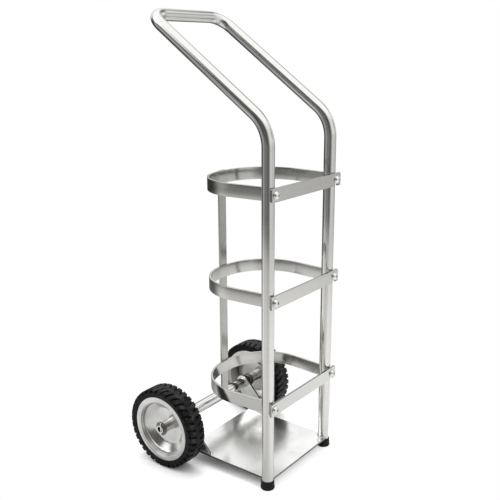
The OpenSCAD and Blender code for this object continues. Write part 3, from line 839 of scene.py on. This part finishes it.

# %% Painted edge shade
# Painted shade on the cut edges of bar and sheet. The mask is 1 on the cut edges and 0 on the two
# faces, where the surface looks along the sheet's thickness.
painted_edge_shade, given = effect("Painted edge shade", {"Outward": (0, 0, 1), "Thickness": (0, 0, 1)}, ["Edges"])
facing = vector_node(painted_edge_shade, "DOT_PRODUCT", given["Outward"], given["Thickness"])
facing = math_node(painted_edge_shade, "ABSOLUTE", facing)
node(painted_edge_shade, "NodeGroupOutput", {"Edges": ramp(painted_edge_shade, facing, 0.3, 0.6, 1.0, 0.0)})
print(painted_edge_shade.name, len(painted_edge_shade.nodes), "nodes")

# %% Worked steel
# Brightness = Broad - Smears * Stain - Edges * the edge weight, which paints shade on the edges.
# Roughness = Base + the sum over the four patterns of pattern * its own share.
PATTERNS = ["Fine", "Broad", "Smears", "Scratches"]
numbers = PATTERNS + ["Edges", "Stain", "EdgeShade", "Base"] + ["By " + word for word in PATTERNS]
worked_steel, given = effect(
    "Worked steel", {word: 0.0 for word in numbers}, ["Brightness", "Roughness"]
)
tree = worked_steel
brightness, roughness = given["Broad"], given["Base"]
for pattern, share in (("Smears", "Stain"), ("Edges", "EdgeShade")):
    part = math_node(tree, "MULTIPLY", given[pattern], given[share])
    brightness = math_node(tree, "SUBTRACT", brightness, part)
for pattern in PATTERNS:
    part = math_node(tree, "MULTIPLY", given[pattern], given["By " + pattern])
    roughness = math_node(tree, "ADD", part, roughness)
node(tree, "NodeGroupOutput", {"Brightness": brightness, "Roughness": roughness})
print(worked_steel.name, len(tree.nodes), "nodes")

# %% Rubber skin
# Pits are the fine texture of the mould. Bloom is the pale wax and dust that rubber gathers in
# patches.
rubber_skin, given = effect(
    "Rubber skin", {"Place": (0, 0, 0), "Pits per metre": 900.0}, ["Pits", "Bloom"]
)
tree = rubber_skin
pitted = vector_node(tree, "SCALE", given["Place"], given["Pits per metre"])
node(tree, "NodeGroupOutput", {
    "Pits": noise(tree, pitted, 1.0, 2.0, 0.6),
    "Bloom": ramp(tree, noise(tree, given["Place"], 26.0, 4.0, 0.6, 0.4), 0.44, 0.68),
})
print(len(bpy.data.node_groups), "shared effects")

# %% [markdown]
# ## Metals
# Every steel here is the same alloy, and the finishes differ mainly in how they were worked. The
# tube is polished, flat bar and strip are brushed lengthwise, the base plate has the soft mirror
# of rolled sheet, and wheels are buffed as they spin. Their tones also differ: the rear strip's
# darker tone is painted shade, and the brighter tone of plate and gussets is painted light.
# Brushing makes tiny parallel valleys, which smear a reflection across themselves. Blender smears
# a reflection along the tangent, so the tangent is laid square to the grain.

# %% Parts of a material
def new_material(name, **constants):
    """A material and its Principled shader, with the plain numbers set on the shader itself."""
    made = bpy.data.materials.new(name)
    made.use_nodes = True
    shader = made.node_tree.nodes["Principled BSDF"]
    for key, value in constants.items():
        shader.inputs[key.replace("_", " ")].default_value = value
    return made, made.node_tree, shader


def used(tree, group, inputs):
    """The outputs of a shared effect placed in a material."""
    return node(tree, "ShaderNodeGroup", inputs, node_tree=group).outputs


def own_place(tree, middle=(0, 0, 0)):
    """The place on the cart, measured from a middle point."""
    place = node(tree, "ShaderNodeTexCoord").outputs["Object"]
    shift = tuple(-value for value in middle)
    made = node(tree, "ShaderNodeMapping", {"Vector": place, "Location": shift})
    return made.outputs["Vector"]


def bumped(tree, shader, height, strength, depth):
    """Lays fine relief on a shader, from a height between 0 and 1 and its depth in metres."""
    inputs = {"Height": height, "Strength": strength, "Distance": depth}
    feed(tree, shader, {"Normal": node(tree, "ShaderNodeBump", inputs).outputs["Normal"]})


# %% Grain along a map, along an axis, or round an axle
def along_map(stretch):
    """Grain on a piece's own map, which is in metres."""
    def grain(tree):
        place = node(tree, "ShaderNodeUVMap", uv_map="metres").outputs["UV"]
        return used(tree, brushed_grain, {"Place": place, "Stretch": stretch})
    return grain


def along_place(stretch):
    """Grain on the cart's own axes."""
    def grain(tree):
        return used(tree, brushed_grain, {"Place": own_place(tree), "Stretch": stretch})
    return grain


def round_axle(rings):
    """Rings round the wheels' axle, as many to a metre of radius."""
    def grain(tree):
        place = own_place(tree, (0, AXLE_Y, WHEEL_R))
        return used(tree, turned_rings, {"Place": place, "Rings": rings})
    return grain


def lay_tangent(tree, shader, tangent):
    """The tangent is the first direction of the piece's map, or one fixed direction."""
    if tangent == "map":
        laid = node(tree, "ShaderNodeTangent", direction_type="UV_MAP", uv_map="metres")
    else:
        spaces = {"vector_type": "VECTOR", "convert_from": "OBJECT", "convert_to": "WORLD"}
        laid = node(tree, "ShaderNodeVectorTransform", {0: tangent}, **spaces)
    feed(tree, shader, {"Tangent": laid.outputs[0]})


# %% Metal
def metal(
    name, tone, grain, spread, roughness, rough_by, bump, marks=1.0, stain=0.0,
    thickness=None, dull=0.0, tangent=None, **constants,
):
    """A steel whose tone goes from 1 - spread to 1 + spread times the given tone with the broad
    grain. Smears darken it by stain, and the edge weight paints shade on the edges of a sheet whose
    thickness lies along that direction. rough_by gives the shares of fine grain, broad grain,
    smears and scratches in its roughness, and the mean of the two grains, one half, is taken off
    first."""
    made, tree, shader = new_material(name, Metallic=1.0, **constants)
    fine, broad = grain(tree)[:2]
    smears, scratches = used(tree, handling_marks, {"Place": own_place(tree), "Size": marks})[:2]
    worked = dict(zip(PATTERNS, (fine, broad, smears, scratches)), Stain=stain, EdgeShade=dull)
    worked.update({"By " + word: share for word, share in zip(PATTERNS, rough_by)})
    worked["Base"] = roughness - 0.5 * (rough_by[0] + rough_by[1])
    if thickness:
        outward = node(tree, "ShaderNodeTexCoord").outputs["Normal"]
        edges = used(tree, painted_edge_shade, {"Outward": outward, "Thickness": thickness})
        worked["Edges"] = edges[0]
    brightness, rough = used(tree, worked_steel, worked)[:2]
    dark, light = [tuple(value * share for value in tone) for share in (1 - spread, 1 + spread)]
    colour = shade(tree, brightness, dark, light)
    feed(tree, shader, {"Base Color": colour, "Roughness": rough})
    bumped(tree, shader, fine, bump, 0.02 * MM)
    if tangent:
        lay_tangent(tree, shader, tangent)
    print(name, len(tree.nodes), "nodes")
    return made


# %% Tubes
TUBE_TONE = (0.66, 0.655, 0.635)
tube_finish = metal(
    "polished_tube", TUBE_TONE, along_map((30, 420, 1)), spread=0.05, roughness=0.09,
    rough_by=(0.04, 0.05, 0.04, 0.10), bump=0.05, tangent="map",
    Anisotropic=0.3, Anisotropic_Rotation=0.25,
)
# Its broad grain, spread far, paints lengthwise light and dark bands of reflection on the axle
# tube, over its drawn grain.
axle_finish = metal(
    "drawn_tube_painted_bands", TUBE_TONE, along_place((6, 900, 900)), spread=1.1, roughness=0.08,
    rough_by=(0.04, 0.05, 0.04, 0.10), bump=0.05,
)

# %% Flat bar
FLAT_BAR = dict(rough_by=(0.08, 0.06, 0.03, 0.08), bump=0.12, marks=1.2, Anisotropic=0.6)
hoop_finish = metal(
    "brushed_hoop", (0.51, 0.505, 0.485), along_map((700, 9, 1)), spread=0.08, roughness=0.17,
    tangent="map", **FLAT_BAR,
)
bar_finish = metal(
    "brushed_bar", (0.60, 0.595, 0.575), along_place((9, 700, 700)), spread=0.07, roughness=0.20,
    thickness=(0, 1, 0), dull=4.0, tangent=(0, 0, 1), **FLAT_BAR,
)
# Its tone, darker than the other flat bar, is painted shade.
strip_finish = metal(
    "brushed_strip", (0.44, 0.435, 0.415), along_place((700, 700, 9)), spread=0.12, roughness=0.24,
    rough_by=(0.08, 0.06, 0.05, 0.08), bump=0.12, marks=1.2, stain=0.4,
    tangent=(1, 0, 0), Anisotropic=0.5,
)

# %% Sheet
# The sheet's tone, brighter than the other steels, is painted light on plate and gussets.
SHEET = dict(
    tone=(0.88, 0.88, 0.87), spread=0.10, roughness=0.20, rough_by=(0.02, 0.05, 0.05, 0.03),
    bump=0.02, marks=0.8, stain=0.4, dull=4.2,
)
rolled, sheared = along_place((14, 60, 60)), along_place((60, 14, 60))
plate_finish = metal("rolled_sheet", grain=rolled, thickness=(0, 0, 1), **SHEET)
gusset_finish = metal("sheared_sheet", grain=sheared, thickness=(1, 0, 0), **SHEET)

# %% Wheels and small parts
wheel_finish = metal(
    "buffed_wheel", (0.62, 0.615, 0.60), round_axle(1500.0), spread=0.10, roughness=0.20,
    rough_by=(0.04, 0.06, 0.06, 0.10), bump=0.06, marks=1.5, stain=0.5,
    tangent="map", Anisotropic=0.75,
)
turned_finish = metal(
    "turned_steel", TUBE_TONE, round_axle(2500.0), spread=0.06, roughness=0.18,
    rough_by=(0.06, 0.04, 0.04, 0.06), bump=0.08, marks=1.5,
)
# Near black as painted shade: the washers stand for the dark recess round the axle's end.
washer_shade_finish = metal(
    "washer_painted_shade", (0.15, 0.15, 0.15), round_axle(2500.0), spread=0.20, roughness=0.30,
    rough_by=(0.10, 0.08, 0.06, 0.10), bump=0.10, marks=3.0,
)
weld_finish = metal(
    "weld_metal", (0.60, 0.585, 0.56), along_place((260, 260, 260)), spread=0.12, roughness=0.30,
    rough_by=(0.16, 0.10, 0.10, 0.05), bump=0.3, marks=4.0,
)
screw_finish = metal(
    "bright_screws", (0.72, 0.715, 0.70), along_place((900, 900, 900)), spread=0.06,
    roughness=0.16, rough_by=(0.06, 0.05, 0.06, 0.08), bump=0.06, marks=5.0,
)

# %% [markdown]
# ## Bronze and rubber
# The bushes are sintered bronze, a pressed powder, so they are matt and speckled. Rubber has a
# low, broad shine. Clean rubber is blackest, and it is a little greyer where wax has bloomed out
# of it. A tyre's crown is paler in patches, partly from scuffs and partly as a painted sheen.

# %% Bronze
bronze_finish, tree, shader = new_material("sintered_bronze", Metallic=1.0)
speckle = noise(tree, own_place(tree), 1800.0, 2.0, 0.7)
colour = shade(tree, ramp(tree, speckle, 0.35, 0.65), (0.40, 0.27, 0.13), (0.66, 0.49, 0.28))
rough = math_node(tree, "ADD", math_node(tree, "MULTIPLY", speckle, 0.25), 0.32)
feed(tree, shader, {"Base Color": colour, "Roughness": rough})
bumped(tree, shader, speckle, 0.3, 0.05 * MM)
print(bronze_finish.name, len(tree.nodes), "nodes")


# %% Rubber
def rubber(name, clean, bloomed, roughness, pits, worn_from=None):
    """A black rubber between a clean and a bloomed tone, with the fine pits of its mould. Further
    from the axle than the given radius it is paler in patches: partly scuffs, partly painted sheen."""
    made, tree, shader = new_material(name, Specular_IOR_Level=0.10)
    place = own_place(tree)
    pit, bloom = used(tree, rubber_skin, {"Place": place, "Pits per metre": pits})[:2]
    pale = math_node(tree, "MULTIPLY", bloom, 0.5)
    # Painted sheen, partly scuffs: the crown is paler in patches.
    if worn_from is not None:
        from_axle = own_place(tree, (0, AXLE_Y, WHEEL_R))
        radius = vector_node(tree, "LENGTH", vector_node(tree, "MULTIPLY", from_axle, (0, 1, 1)))
        crown = ramp(tree, radius, worn_from, worn_from + 2.5 * MM)
        patches = ramp(tree, noise(tree, place, 70.0, 3.0, 0.6), 0.45, 0.68, 0.15, 1.3)
        pale = math_node(tree, "MAXIMUM", pale, math_node(tree, "MULTIPLY", crown, patches))
    rough = math_node(tree, "ADD", math_node(tree, "MULTIPLY", bloom, 0.12), roughness)
    rough = math_node(tree, "ADD", math_node(tree, "MULTIPLY", pit, 0.10), rough)
    feed(tree, shader, {"Base Color": shade(tree, pale, clean, bloomed), "Roughness": rough})
    bumped(tree, shader, pit, 0.35, 0.15 * MM)
    print(name, len(tree.nodes), "nodes")
    return made


tyre_finish = rubber(
    "tyre_rubber", (0.003, 0.003, 0.0035), (0.030, 0.030, 0.0305), 0.36, 900.0, 97 * MM
)
cap_finish = rubber("cap_rubber", (0.012, 0.012, 0.012), (0.024, 0.024, 0.024), 0.38, 1400.0)

# %% [markdown]
# ## Finishes on the pieces
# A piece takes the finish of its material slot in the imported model. Some pieces of one slot were
# worked in different ways, such as a bar and a hoop, and these have a finish of their own.

# %% Each piece gets its finish
BY_SLOT = {
    "polished_stainless": tube_finish, "brushed_stainless": hoop_finish,
    "plate_stainless": plate_finish, "wheel_steel": wheel_finish,
    "fastener_stainless": screw_finish, "bush_bronze": bronze_finish,
    "tyre_rubber": tyre_finish, "rubber": cap_finish,
}
# By how a name begins. Where two of these fit, the later one holds.
BY_NAME = {
    "bar_": bar_finish, "rear_strip": strip_finish, "gusset_": gusset_finish,
    "welds_": weld_finish, "hub_": turned_finish, "screw_bosses": turned_finish,
    "axle": turned_finish, "axle_tube": axle_finish, "axle_washers": washer_shade_finish,
}
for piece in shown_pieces():
    finish = BY_SLOT[slot_of[piece.name]]
    for start, own_finish in BY_NAME.items():
        if piece.name.startswith(start):
            finish = own_finish
    piece.data.materials.clear()
    piece.data.materials.append(finish)

# %% [markdown]
# ## Settings
# The standard view keeps colours as they are written.

# %% Finish
bpy.context.scene.view_settings.view_transform = "Standard"
